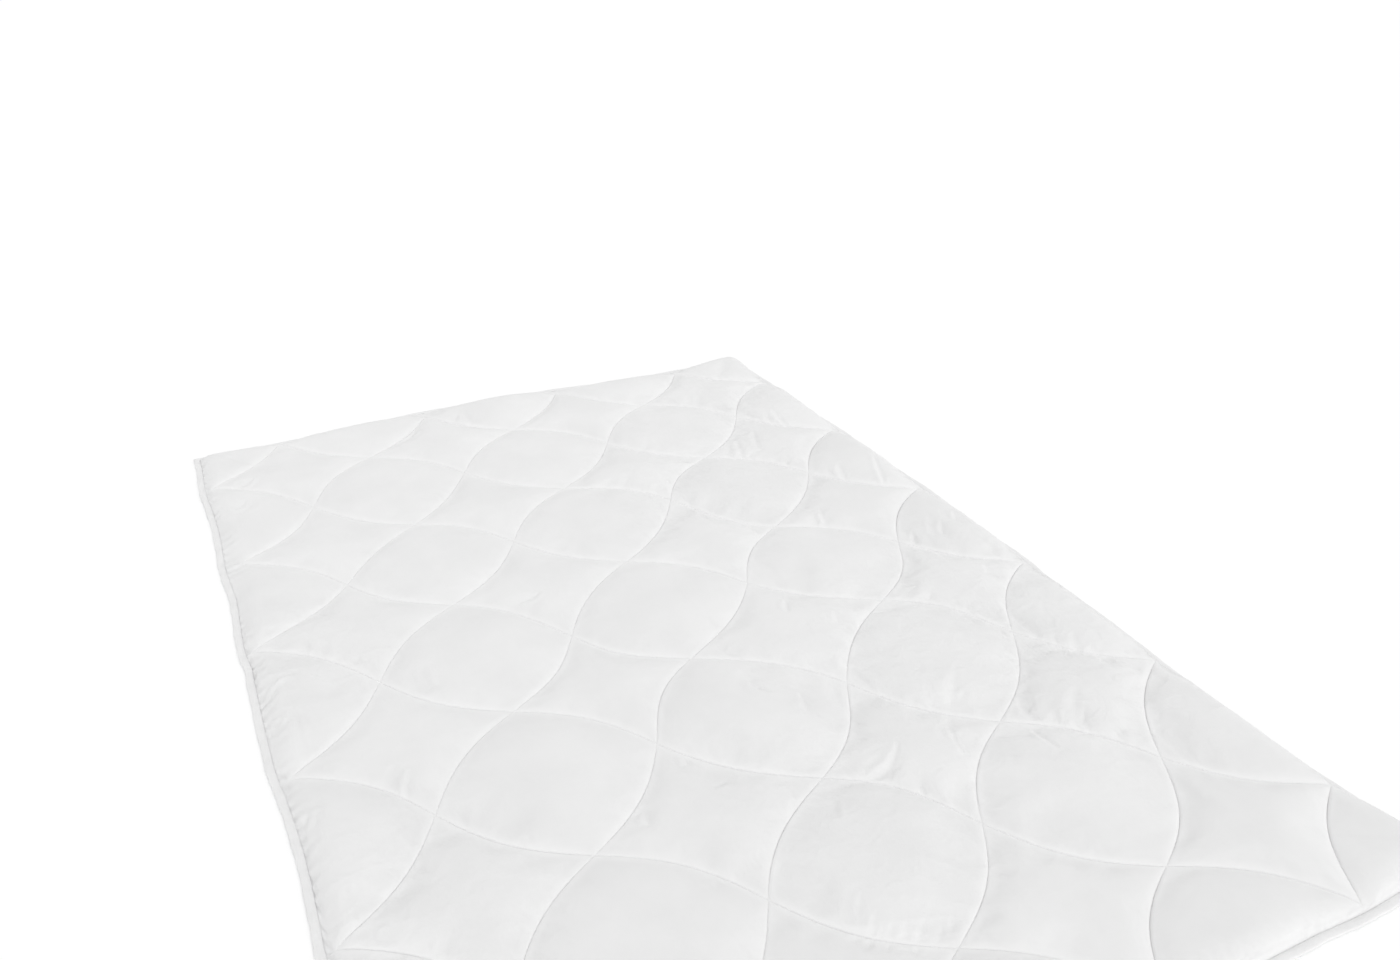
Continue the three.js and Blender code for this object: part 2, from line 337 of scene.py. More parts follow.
def draw_grid(name, steps):
    """A flat grid in squares across and along, with lines close together beside the stitches."""
    near, count = steps
    half = [step / CELL_SIDE for step in near]
    half += list(np.linspace(half[-1], 0.5, count + 1)[1:])
    marks = half + [1 - mark for mark in half[-2::-1]]
    per_cell = len(marks) - 1
    bpy.ops.object.select_all(action="DESELECT")
    bpy.ops.mesh.primitive_grid_add(
        x_subdivisions=2 * REACH * per_cell,
        y_subdivisions=2 * REACH * per_cell,
        size=2 * REACH,
    )
    grid = bpy.context.object
    grid.name = name
    evenly = get_places(grid)[:, :2] + 0.5
    whole = np.floor(evenly + TINY)
    a, b = (whole + np.interp((evenly - whole) * per_cell, range(per_cell + 1), marks)).T
    set_places(grid, np.column_stack([a - b, a + b - 1, 0 * a]))
    edit(grid, "VERT")
    for side in (-1, 1):
        for size, axis in ((COLUMNS, (1, 0, 0)), (ROWS, (0, 1, 0))):
            bpy.ops.mesh.select_all(action="SELECT")
            bpy.ops.mesh.bisect(
                plane_co=[side * size / 2 * part for part in axis],
                plane_no=[side * part for part in axis],
                clear_outer=True,
                threshold=TINY,
            )
    done()
    print(name, "has", len(grid.data.vertices), "points and", per_cell, "steps a cell")
    return grid


def refine(grid):
    """Cuts the squares under the creases into nine."""
    middles = np.array([face.center for face in grid.data.polygons])
    x, y = lay(middles[:, 0], middles[:, 1])
    near = np.zeros(len(x), bool)
    for crease in CREASES:
        along, across = beside_crease(crease, x, y)
        beside = np.abs(across + crease.width) < CREASE_SIDE * crease.width
        near |= beside & (np.abs(along) < crease.length / 2)
    edit(grid, "FACE")
    bpy.ops.mesh.select_all(action="DESELECT")
    done()
    grid.data.polygons.foreach_set("select", near)
    bpy.ops.object.mode_set(mode="EDIT")
    bpy.ops.mesh.subdivide(number_cuts=2)
    done()
    print(near.sum(), "squares lie under a crease")


quilt = draw_grid("quilt_shells", UPPER_STEPS)
refine(quilt)
lower = draw_grid("lower_shell", LOWER_STEPS)

# %% [markdown]
# The rim
#
# Outside the grid the cloth rolls down to a thin lip, which the tape is folded over. The open edge is
# extruded once for each ring of points that this takes. For now a ring only gets its number as its
# height, so that the formulas can tell the rings apart.

# %% Extrude the rings of the rim
SHARES_TO_SEAM = [0, 0.3, 0.6, 0.85, 1]
SEAM_RING = len(SHARES_TO_SEAM) - 1
LIP_RING = SEAM_RING + 1


def select_open_edge(piece):
    edit(piece, "EDGE")
    bpy.ops.mesh.select_all(action="DESELECT")
    bpy.ops.mesh.select_non_manifold(use_wire=False, use_multi_face=False, use_non_contiguous=False)


def extrude_rings(piece):
    select_open_edge(piece)
    for ring in range(LIP_RING):
        bpy.ops.mesh.extrude_edges_move(TRANSFORM_OT_translate={"value": (0, 0, 1)})
    done()
    i, j, ring = get_places(piece).T
    ring = np.rint(ring).astype(int)
    print(piece.name, "has", (ring == LIP_RING).sum(), "points in each ring")
    return i, j, ring


i, j, ring = extrude_rings(quilt)
lower_i, lower_j, lower_ring = extrude_rings(lower)

# %% [markdown]
# The seam line, where the shells meet the inner edge of the tape, draws in a little between the lines of
# stitches. Towards the near end the right side bends inward, and in a few places an edge bows out.

# %% Lay the rings out
TAPE_WIDTH = 0.012
LIP_DEPTH = 0.0087
EDGE_SCALLOP = 0.005
LEAST_MARGIN = 0.004
BEND_INWARD = 0.034
BEND_FROM = 0.10
BEND_TO = 0.50

# Where an edge bows out: the edge, the place along it, the reach to each side and how far, in metres
Bow = namedtuple("Bow", "edge place reach out")
BOWS = [
    Bow("left", 0.245, 0.11, 0.004),
    Bow("left", -0.025, 0.16, 0.008),
    Bow("far", -0.060, 0.42, 0.030),
    Bow("right", 0.300, 0.52, 0.008),
]


def bowed(edge, place):
    out = np.zeros(len(place))
    for bow in BOWS:
        if bow.edge == edge:
            out += bow.out * np.clip(1 - ((place - bow.place) / bow.reach) ** 2, 0, 1)
    return out


def outward(i, j):
    """The way out from a point on the grid's border, across the side and across the end."""
    at_side = np.where(np.abs(i) > COLUMNS / 2 - TINY, np.sign(i), 0)
    at_end = np.where(np.abs(j) > ROWS / 2 - TINY, np.sign(j), 0)
    return at_side, at_end


def seam(i, j):
    x, y = lay(i, j)
    at_side, at_end = outward(i, j)
    from_crossing = np.abs(np.mod(i + j, 2) - 1)
    scallop = EDGE_SCALLOP * np.sin(np.pi / 2 * from_crossing) ** 2
    bent = np.clip((-y - BEND_FROM) / (BEND_TO - BEND_FROM), 0, 1)
    bend = np.where(i > 0, BEND_INWARD * bent**2 * (3 - 2 * bent), 0)
    side_line = np.maximum(WIDTH / 2 - TAPE_WIDTH - scallop - bend, np.abs(x) + LEAST_MARGIN)
    end_line = np.maximum(LENGTH / 2 - TAPE_WIDTH - scallop, np.abs(y) + LEAST_MARGIN)
    side_line = side_line + np.where(i < 0, bowed("left", y), bowed("right", y))
    end_line = end_line + np.where(j > 0, bowed("far", x), 0)
    x = np.where(at_side != 0, at_side * side_line, x)
    y = np.where(at_end != 0, at_end * end_line, y)
    return x, y


def lay_rings(i, j, ring):
    grid_x, grid_y = lay(i, j)
    seam_x, seam_y = seam(i, j)
    at_side, at_end = outward(i, j)
    share = np.interp(ring, range(len(SHARES_TO_SEAM)), SHARES_TO_SEAM)
    lip = np.where(ring == LIP_RING, LIP_DEPTH, 0)
    x = grid_x + share * (seam_x - grid_x) + lip * at_side
    y = grid_y + share * (seam_y - grid_y) + lip * at_end
    return x, y, share


x, y, share = lay_rings(i, j, ring)
print("the lip reaches", round(x.max(), 4), "metres to the side")

# %% [markdown]
# The crown of the cells
#
# Each cell is a soft, low pillow. Its height is a crown that rises steeply beside the stitches and gently
# further in, and right beside the thread the cloth dips into a narrow groove. Some cells hold a little more
# filling than others. Those along the edges are the fullest, as their bumps in outline show. At the seam
# the duvet rises upright from its lip, like a rounded edge. Only the left side rises at a slant, because an
# upright start drew too dark a line beside the tape there.

# %% Heights of the upper shell
STITCH_TOP = 0.0115
CROWN = 0.0120
CROWN_ROUNDING = 0.50
GROOVE_DEPTH = 0.0004
GROOVE_REACH = 0.0030
FULLNESS_SPREAD = 0.10
FULLNESS_BEATS = (2.1, 3.7)
SIDE_TREND = 0.20
RIM_FULLNESS = 0.40
RIM_REACH = 0.16
EDGE_ROLL = 0.032
GENTLE_ROLL = 0.090
GENTLE_AT = 2.0
GENTLE_REACH = 0.8
LIP_TOP = 0.0036
SIDE_MARGIN = WIDTH / 2 - COLUMNS / 2 * PITCH - TAPE_WIDTH
END_MARGIN = LENGTH / 2 - ROWS / 2 * PITCH - TAPE_WIDTH

# Cells that are higher or lower than the rest: the middle in squares and the height in metres
Swell = namedtuple("Swell", "i j height")
SWELL_REACH = 0.9
SWELLS = [
    Swell(-4.0, 6.0, -0.006),
    Swell(-1.2, 6.0, 0.005),
    Swell(0.3, 6.0, 0.009),
    Swell(2.0, 6.0, 0.006),
    Swell(4.0, 4.0, 0.005),
    Swell(4.0, 2.0, 0.005),
    Swell(4.0, 0.0, 0.003),
    Swell(4.0, -2.0, -0.008),
]


def fullness(i, j):
    """1 for an even cell, more to the right and along the edges."""
    a, b = cell_coordinates(i, j)
    beat_a, beat_b = FULLNESS_BEATS
    cell = 1 + FULLNESS_SPREAD * np.sin(beat_a * np.floor(a) + beat_b * np.floor(b))
    from_rim = np.minimum(COLUMNS / 2 - np.abs(i), ROWS / 2 - np.abs(j)) * PITCH
    rim = 1 + RIM_FULLNESS * np.clip(1 - from_rim / RIM_REACH, 0, 1)
    return cell * rim * (1 + SIDE_TREND * np.clip(2 * i / COLUMNS, -1, 1))


def swelling(i, j):
    height = 0 * i
    for swell in SWELLS:
        away = np.hypot(i - swell.i, j - swell.j) / SWELL_REACH
        height = height + swell.height * np.exp(-(away**2))
    return height


def roll(depth, reach):
    """0 at the lip, 1 where the duvet has its full thickness."""
    return np.sqrt(1 - np.clip(1 - depth / reach, 0, 1) ** 2)


def from_seam(i, j, share):
    """How far a point of the shell is from the seam at the side and at the end."""
    at_side, at_end = outward(i, j)
    from_side = (COLUMNS / 2 - np.abs(i)) * PITCH + SIDE_MARGIN * (1 - share * np.abs(at_side))
    from_end = (ROWS / 2 - np.abs(j)) * PITCH + END_MARGIN * (1 - share * np.abs(at_end))
    return from_side, from_end


def soft_roll(depth, reach):
    """Rises from the lip at a slant instead of upright."""
    return np.sin(np.pi / 2 * np.clip(depth / reach, 0, 1))


def edge_roll(i, j, share):
    """The left side is soft, and the far end falls away more gently in one cell right of its middle."""
    from_side, from_end = from_seam(i, j, share)
    side = np.where(i < 0, soft_roll(from_side, EDGE_ROLL), roll(from_side, EDGE_ROLL))
    gentle = np.where(j > 0, np.exp(-(((i - GENTLE_AT) / GENTLE_REACH) ** 2)), 0)
    return side * roll(from_end, EDGE_ROLL + (GENTLE_ROLL - EDGE_ROLL) * gentle)


def beside_stitches(steps):
    """0 on a line of stitches, 1 from the end of the groove on."""
    from_line = np.abs(steps - np.rint(steps)) * CELL_SIDE
    return np.sqrt(1 - np.clip(1 - from_line / GROOVE_REACH, 0, 1) ** 2)


def top_height(i, j, share):
    a, b = cell_coordinates(i, j)
    groove = GROOVE_DEPTH * beside_stitches(a) * beside_stitches(b)
    crown = (CROWN * fullness(i, j) + swelling(i, j)) * loft(i, j) ** CROWN_ROUNDING
    height = STITCH_TOP + groove + crown
    return LIP_TOP + (height - LIP_TOP) * edge_roll(i, j, share)


smooth_shape = np.column_stack([x, y, top_height(i, j, share)])
set_places(quilt, smooth_shape)
print("the cells rise to", round(smooth_shape[:, 2].max() * 1000, 1), "mm")

# %% [markdown]
# Puckers by cloth simulation
#
# The shell is cut a little larger than it lies, because the thread gathers it, and that spare cloth is
# what puckers along the stitches. A cloth simulation makes such puckers: the lines of stitches and the
# seam are pinned, a light pressure stands for the filling, and negative shrinking gives spare cloth, more
# of it where the photograph shows more creases. How far a point may move is limited, so the cells keep
# their crown.

# %% Settle the upper shell
SPARE_CLOTH = 0.026
SETTLING_FRAMES = 18
FARTHEST_MOVE = 0.0040
HELD_LOFT = 0.12
WEIGHT_LEVELS = 20
CLOTH_SETTINGS = {
    "quality": 4,
    "mass": 0.3,
    "tension_stiffness": 15,
    "compression_stiffness": 15,
    "shear_stiffness": 5,
    "bending_stiffness": 0.3,
    "tension_damping": 5,
    "compression_damping": 5,
    "shear_damping": 5,
    "bending_damping": 0.5,
    "air_damping": 1,
    "use_pressure": True,
    "uniform_pressure_force": 0.4,
    "shrink_min": -SPARE_CLOTH,
    "shrink_max": 0,
}

# Places with more spare cloth: the middle and the reach in metres, and the share of it
Slack = namedtuple("Slack", "x y reach share")
SLACKS = [
    Slack(0.45, -0.35, 0.45, 0.9),
    Slack(0.30, 0.35, 0.35, 0.6),
    Slack(0.55, 0.75, 0.30, 0.7),
    Slack(0.05, -0.60, 0.30, 0.6),
    Slack(-0.62, 0.10, 0.20, 0.7),
    Slack(-0.60, -0.45, 0.25, 0.6),
]
LEAST_SLACK = 0.25


def slackness(x, y):
    share = np.full(len(x), LEAST_SLACK)
    for slack in SLACKS:
        away = np.hypot(x - slack.x, y - slack.y) / slack.reach
        share = np.maximum(share, slack.share * np.clip(1 - away**2, 0, 1) + LEAST_SLACK)
    return np.clip(share, 0, 1)


def paint_weights(piece, name, weights):
    group = piece.vertex_groups.new(name=name)
    levels = np.rint(np.asarray(weights) * WEIGHT_LEVELS).astype(int)
    for level in np.unique(levels[levels > 0]):
        group.add(np.nonzero(levels == level)[0].tolist(), float(level) / WEIGHT_LEVELS, "REPLACE")


def settle(piece, pinned, slack):
    paint_weights(piece, "sewn", pinned)
    paint_weights(piece, "taut", 1 - slack)
    pick(piece)
    bpy.ops.object.modifier_add(type="CLOTH")
    cloth = piece.modifiers[-1]
    settings = cloth.settings
    for name, value in CLOTH_SETTINGS.items():
        setattr(settings, name, value)
    settings.vertex_group_mass = "sewn"
    settings.vertex_group_shrink = "taut"
    settings.effector_weights.gravity = 0
    cloth.collision_settings.use_collision = False
    cloth.collision_settings.use_self_collision = False
    cloth.point_cache.frame_start = 1
    cloth.point_cache.frame_end = SETTLING_FRAMES
    for frame_number in range(1, SETTLING_FRAMES + 1):
        bpy.context.scene.frame_set(frame_number)
    bpy.ops.object.modifier_apply(modifier=cloth.name)
    bpy.context.scene.frame_set(1)
    piece.vertex_groups.clear()


def limited(move, farthest):
    """Leaves small moves alone and lets none pass the farthest."""
    size = np.linalg.norm(move, axis=1, keepdims=True)
    return move * farthest * np.tanh(size / farthest) / np.maximum(size, 1e-9)


a, b = cell_coordinates(i, j)
on_stitches = (np.abs(a - np.rint(a)) < TINY) | (np.abs(b - np.rint(b)) < TINY)
pinned = (on_stitches & (ring == 0)) | (ring >= SEAM_RING)
settle(quilt, pinned, slackness(x, y))
settled = get_places(quilt)
puckers = limited(settled - smooth_shape, FARTHEST_MOVE)
puckers *= np.where(ring > 0, 1, np.clip(loft(i, j) / HELD_LOFT, 0, 1))[:, None]
print("the puckers move the cloth by up to", round(np.abs(puckers).max() * 1000, 1), "mm")

# %% [markdown]
# The creases go on top
#
# The settled cloth now gets the creases of the table. They fade out beside the stitches, because there the
# thread holds the cloth.

# %% Lay the creases
FREE_LOFT = 0.1

free = np.where(pinned | (ring > 0), 0, np.clip(loft(i, j) / FREE_LOFT, 0, 1))
upper_shape = smooth_shape + puckers
upper_shape[:, 2] += free * crease_height(x, y)
print("the creases are up to", round(-crease_height(x, y).min() * 1000, 1), "mm deep")

# %% [markdown]
# The lower shell and the closed quilt
#
# The lower shell is the same drawing with fewer squares, turned over. The photograph doesn't show it. Here
# each of its cells lies flat on the floor, and only along the stitches it lifts into shallow channels.

# %% Shape the lower shell
STITCH_BOTTOM = 0.008
CHANNEL_REACH = 0.35
LIP_BOTTOM = 0.0016


def bottom_height(i, j, share):
    channel = np.clip(1 - loft(i, j) / CHANNEL_REACH, 0, 1) ** 2
    return STITCH_BOTTOM * channel * edge_roll(i, j, 0 * share) * (1 - share) + LIP_BOTTOM * share


lower_x, lower_y, lower_share = lay_rings(lower_i, lower_j, lower_ring)
lower_height = bottom_height(lower_i, lower_j, lower_share)
set_places(lower, np.column_stack([lower_x, lower_y, lower_height]))
edit(lower, "FACE")
bpy.ops.mesh.flip_normals()
done()
print("the channels are", round(lower_height.max() * 1000, 1), "mm deep")

# %% [markdown]
# Shares for the material
#
# Some looks of the cloth depend on where it is. Each one is painted on the points as a share from 0 to 1,
# and the material reads it later: a painted highlight beside the stitches, where the duvet is thin, where
# its cloth is crumpled, and where small gathers stand beside the tape, at the sides and at the ends. The
# lower shell has only the painted highlight beside its stitches.
#
# Then the open edges of the two lips are bridged, which makes one closed, filled form.

# %% Paint the shares
# How far the painted highlight beside the stitches reaches
HIGHLIGHT_REACH = 0.009
GATHERED_RIM = 0.030


def paint_share(piece, name, share):
    """Stores a number from 0 to 1 with every point, for a material to read."""
    layer = piece.data.attributes.new(name=name, type="FLOAT", domain="POINT")
    layer.data.foreach_set("value", np.asarray(share, float))


def painted_highlight_share(i, j, ring):
    """Share of the painted highlight: 1 on the stitches and at the seam, fading to 0 over the cloth beside
    the stitches.
    """
    a, b = cell_coordinates(i, j)
    near_a = np.exp(-((np.abs(a - np.rint(a)) * CELL_SIDE / HIGHLIGHT_REACH) ** 2))
    near_b = np.exp(-((np.abs(b - np.rint(b)) * CELL_SIDE / HIGHLIGHT_REACH) ** 2))
    return np.where(ring < SEAM_RING - 1, np.maximum(near_a, near_b), 1)


from_side, from_end = from_seam(i, j, share)
paint_share(quilt, "side_gathers", np.clip(1 - from_side / GATHERED_RIM, 0, 1))
paint_share(quilt, "end_gathers", np.clip(1 - from_end / GATHERED_RIM, 0, 1))
paint_share(quilt, "crumpled", slackness(x, y) - LEAST_SLACK)
# Painted highlight: the share where a lighter white stands in for light beside the stitches
paint_share(quilt, "painted_highlight", painted_highlight_share(i, j, ring))
for name in ("side_gathers", "end_gathers", "crumpled"):
    paint_share(lower, name, 0 * lower_x)
paint_share(lower, "painted_highlight", painted_highlight_share(lower_i, lower_j, lower_ring))
print("the shells have", len(quilt.data.attributes), "and", len(lower.data.attributes), "attributes")

# %% Join the shells and close the lip
set_places(quilt, upper_shape)
pick(quilt)
lower.select_set(True)
bpy.ops.object.join()
select_open_edge(quilt)
bpy.ops.mesh.bridge_edge_loops()
done()
pick(quilt)
bpy.ops.object.shade_smooth()


def triangles_in(piece):
    return sum(len(face.vertices) - 2 for face in piece.data.polygons)


print("the quilt has", triangles_in(quilt), "triangles")

# %% [markdown]
# The tape round the edge
#
# One long tape is folded over both lips and sewn down. Its section is a flat loop that is open towards the
# quilt. A strip of squares is as long as the edge and as wide as the section is round, so a plain grid is
# wrapped: one of its directions goes round the duvet, the other goes round the section. Small ripples run
# across the tape, because the stitches gather it, and its fold is never quite straight.

# %% Way round the edge
CORNERS = [(-1, -1), (1, -1), (1, 1), (-1, 1)]
ROUND = 2 * (COLUMNS + ROWS)
MEASURING_STEPS = 50


def border_spot(at):
    """The spot on the grid's border at a number of squares from the near left corner, anticlockwise."""
    stops = np.cumsum([0, COLUMNS, ROWS, COLUMNS, ROWS])
    i = np.interp(at, stops, [side * COLUMNS / 2 for side, _ in CORNERS + CORNERS[:1]])
    j = np.interp(at, stops, [end * ROWS / 2 for _, end in CORNERS + CORNERS[:1]])
    return i, j


def beside_seam(at, out, up):
    """Points at a distance outside the seam line and at a height."""
    i, j = border_spot(at)
    x, y = seam(i, j)
    at_side, at_end = outward(i, j)
    return np.column_stack([x + at_side * out, y + at_end * out, up + 0 * x])


rim_line = beside_seam(np.linspace(0, ROUND, MEASURING_STEPS * ROUND + 1), TAPE_WIDTH / 2, 0)

# %% Shape of the tape
TAPE_HEIGHT = tape_high.z - tape_low.z
TAPE_GAP = 0.0003
TAPE_CLOTH = 0.0005
TAPE_BULGE = 0.0007
FOLD = 0.0016
RIPPLE_HEIGHT = 0.00045
RIPPLE_LENGTH = 0.0105
FOLD_WANDER = 0.0007
STATIONS = 1600
FACE_POINTS = 7
FOLD_POINTS = 7
SHARP_ANGLE = math.radians(50)
WELDED = 1e-5


def wave(at, length, shift=0):
    """A wave along the tape, from -1 to 1. Its length is in metres, and its shift is an angle."""
    return np.sin(2 * np.pi * at * PITCH / length + shift)


def ripple(at):
    """Uneven small waves: their places drift, and they are strong in some places and weak in others."""
    drift = 1.9 * wave(at, 0.071) + 1.1 * wave(at, 0.0433, 2)
    strength = 0.55 + 0.45 * wave(at, 0.117, 1.3 * wave(at, 0.31))
    return strength * wave(at, RIPPLE_LENGTH, drift)


def wander(at):
    """How the fold strays from a straight line, from -1 to 1."""
    return 0.6 * wave(at, 0.091, 0.7) + 0.4 * wave(at, 0.037, 2.9)


def tape_top(at, out):
    """Height of the tape's upper face: low at its sewn edge, a little full in its middle."""
    share = (out - TAPE_GAP) / (TAPE_WIDTH - FOLD - TAPE_GAP)
    sewn_edge = LIP_TOP + TAPE_GAP + TAPE_CLOTH
    level = sewn_edge + (TAPE_HEIGHT - sewn_edge) * np.clip(share, 0, 1)
    full = np.sin(np.pi * np.clip(share, 0, 1))
    return level + (TAPE_BULGE + RIPPLE_HEIGHT * ripple(at)) * full


# The section, point by point: how far out and how high. Without a height the point is on the upper face.
fold_turns = np.linspace(math.pi / 2, -math.pi / 2, FOLD_POINTS)
section = [(out, None) for out in np.linspace(TAPE_GAP, TAPE_WIDTH - FOLD, FACE_POINTS)[:-1]]
section += [
    (TAPE_WIDTH - FOLD + FOLD * math.cos(turn), TAPE_HEIGHT / 2 * (1 + math.sin(turn)))
    for turn in fold_turns
]
section += [
    (TAPE_GAP, 0),
    (TAPE_GAP, LIP_BOTTOM - TAPE_GAP),
    (LIP_DEPTH + TAPE_GAP, LIP_BOTTOM - TAPE_GAP),
    (LIP_DEPTH + TAPE_GAP, LIP_TOP + TAPE_GAP),
    (TAPE_GAP, LIP_TOP + TAPE_GAP),
]
section.append(section[0])
print("the section has", len(section) - 1, "points")

# %% Wrap the tape
bpy.ops.object.select_all(action="DESELECT")
bpy.ops.mesh.primitive_grid_add(x_subdivisions=STATIONS, y_subdivisions=len(section) - 1, size=1)
tape = bpy.context.object
tape.name = "edge_tape"
flat_strip = get_places(tape)
at = np.mod((flat_strip[:, 0] + 0.5) * ROUND, ROUND)
round_section = np.rint((flat_strip[:, 1] + 0.5) * (len(section) - 1)).astype(int)
out = np.array([section[step][0] for step in round_section])
height = np.array([section[step][1] or 0 for step in round_section])
on_top = np.array([section[step][1] is None for step in round_section])
out = out + FOLD_WANDER * wander(at) * (out / TAPE_WIDTH) ** 2
height = np.where(on_top, tape_top(at, out), height)
set_places(tape, beside_seam(at, out, height))
edit(tape, "VERT")
bpy.ops.mesh.remove_doubles(threshold=WELDED)
bpy.ops.mesh.normals_make_consistent(inside=False)
done()
bpy.ops.object.shade_smooth_by_angle(angle=SHARP_ANGLE)
print("the tape has", triangles_in(tape), "triangles")

# %% [markdown]
# Thread
#
# A stitch is a short piece of thread that comes out of one needle hole and goes into the next, so it shows
# as a small grain with its ends drawn down into the cloth. One grain is modelled from a sphere with few
# faces. Every line of stitches is then walked along with one step for each stitch, and all the copies of
# one seam become one mesh, because thousands of separate objects would be slow and hard to handle. The
# photograph shows the lines but no single stitch, so the length and the thickness are guesses.

# %% One stitch
THREAD = 0.00036
STITCH = 0.0036
STITCH_SHOWS = 0.0029
STITCH_BOW = 0.00022

bpy.ops.object.select_all(action="DESELECT")
bpy.ops.mesh.primitive_uv_sphere_add(segments=5, ring_count=3, radius=0.5, rotation=(0, math.pi / 2, 0))
grain = bpy.context.object
bpy.ops.object.transform_apply(location=False, rotation=True, scale=False)
grain_places = get_places(grain) * (STITCH_SHOWS, THREAD, THREAD)
grain_places[:, 2] -= STITCH_BOW * (2 * grain_places[:, 0] / STITCH_SHOWS) ** 2
grain_faces = [tuple(face.vertices) for face in grain.data.polygons]
bpy.data.objects.remove(grain)
print("one stitch has", len(grain_faces), "faces")

# %% Sew along lines
def walk(line, step):
    """Points and directions along a line, one for each stitch."""
    passed = np.concatenate([[0], np.cumsum(np.linalg.norm(np.diff(line, axis=0), axis=1))])
    count = int(passed[-1] / step)
    marks = (np.arange(count) + 0.5) * passed[-1] / count
    middles, ahead, back = (
        np.column_stack([np.interp(marks + shift, passed, line[:, axis]) for axis in range(3)])
        for shift in (0, step / 2, -step / 2)
    )
    return middles, ahead - back


def sew(name, lines, step, side):
    """One mesh with a grain for every stitch of the lines. side is 1 on top and -1 underneath."""
    walked = [walk(line, step) for line in lines]
    middles = np.concatenate([places for places, _ in walked])
    along = np.concatenate([ways for _, ways in walked])
    along = along / np.linalg.norm(along, axis=1, keepdims=True)
    across = np.cross((0, 0, side), along)
    across = across / np.linalg.norm(across, axis=1, keepdims=True)
    up = np.cross(along, across)
    places = (
        middles[:, None]
        + grain_places[None, :, :1] * along[:, None]
        + grain_places[None, :, 1:2] * across[:, None]
        + grain_places[None, :, 2:] * up[:, None]
    ).reshape(-1, 3)
    shift = len(grain_places)
    faces = [[corner + n * shift for corner in face] for n in range(len(middles)) for face in grain_faces]
    mesh = bpy.data.meshes.new(name)
    mesh.from_pydata(places, [], faces)
    mesh.polygons.foreach_set("use_smooth", [True] * len(faces))
    thread = bpy.data.objects.new(name, mesh)
    bpy.context.collection.objects.link(thread)
    print(name, "has", len(middles), "stitches and", triangles_in(thread), "triangles")
    return thread


# %% Sew the quilting
LINE_STEPS = 24
THREAD_LIFT = 0.00002


def quilting_lines(height_at):
    """Every line of stitches, from edge to edge, as points on one of the shells."""
    lines = []
    for whole in range(-REACH, REACH + 2):
        other = np.linspace(-REACH, REACH + 1, (2 * REACH + 1) * LINE_STEPS + 1)
        for a, b in ((whole + 0 * other, other), (other, whole + 0 * other)):
            i = a - b
            j = a + b - 1
            inside = (np.abs(i) <= COLUMNS / 2) & (np.abs(j) <= ROWS / 2)
            if inside.sum() > 2:
                i = i[inside]
                j = j[inside]
                x, y = lay(i, j)
                lines.append(np.column_stack([x, y, height_at(i, j)]))
    return lines


upper_thread = sew(
    "quilting_thread_upper",
    quilting_lines(lambda i, j: top_height(i, j, 0 * i) + THREAD_LIFT),
    STITCH,
    1,
)
lower_thread = sew(
    "quilting_thread_lower",
    quilting_lines(lambda i, j: bottom_height(i, j, 0 * i) - THREAD_LIFT),
    STITCH,
    -1,
)

# %% Sew the tape down
TAPE_SEAM = 0.0021
SEAM_STEPS = 40

around = np.linspace(0, ROUND, SEAM_STEPS * ROUND + 1)
tape_seam = beside_seam(around, TAPE_SEAM, tape_top(around, TAPE_SEAM) + THREAD_LIFT)
tape_thread = sew("tape_thread", [tape_seam], STITCH, 1)

# %% [markdown]
# The shell cloth
#
# The shell looks like white microfibre, woven so finely that no thread shows from a step away. What shows
# is how soft it is: light goes through the cloth, spreads in the white filling and comes out again, so the
# grooves stay pale. Subsurface scattering with a reach of about a centimetre gives that.
#
# On the real duvet the cloth looks a little brighter beside the stitches, where the duvet is thin and its
# cloth is steep. That brightness is light, coming through the thin duvet and falling on the steep cloth,
# and how much of each isn't known. The render's slopes alone gave too little of it, so a share painted
# beside the stitches mixes in a lighter white there: a painted highlight.
#
# The lumps of the filling, the crumples, the gathers beside the tape, the crinkles and the weave are bump,
# from large to fine. The gathers come and go in patches, because without them they looked too regular.

# %% Helpers for materials
RAMP_ENDS = (0.35, 0.65)
# The wave texture repeats every 2 pi / 20 metres at scale 1
WAVE_UNIT = math.pi / 10
GATHERS_A_METRE = 42
GATHER_WAVES = {"Distortion": 8, "Detail": 1.5, "Detail Scale": 0.5}
GATHER_PATCHES = 11


def start_material(name):
    material = bpy.data.materials.new(name)
    material.use_nodes = True
    nodes = material.node_tree.nodes
    shader = nodes["Principled BSDF"]
    place = nodes.new("ShaderNodeTexCoord")
    return material, nodes, material.node_tree.links, shader, place.outputs["Object"]


def give(node, settings):
    for name, value in settings.items():
        node.inputs[name].default_value = value


def noise(nodes, links, place, scale, detail=2, roughness=0.5, distortion=0):
    node = nodes.new("ShaderNodeTexNoise")
    give(node, {"Scale": scale, "Detail": detail, "Roughness": roughness, "Distortion": distortion})
    links.new(place, node.inputs["Vector"])
    return node.outputs["Fac"]


def two_tones(nodes, links, factor, darker, lighter):
    ramp = nodes.new("ShaderNodeValToRGB")
    for element, position, tone in zip(ramp.color_ramp.elements, RAMP_ENDS, (darker, lighter)):
        element.position = position
        element.color = (tone, tone, tone, 1)
    links.new(factor, ramp.inputs["Fac"])
    return ramp.outputs["Color"]


def bump(nodes, links, height, strength, distance, under=None):
    node = nodes.new("ShaderNodeBump")
    give(node, {"Strength": strength, "Distance": distance})
    links.new(height, node.inputs["Height"])
    if under is not None:
        links.new(under, node.inputs["Normal"])
    return node.outputs["Normal"]


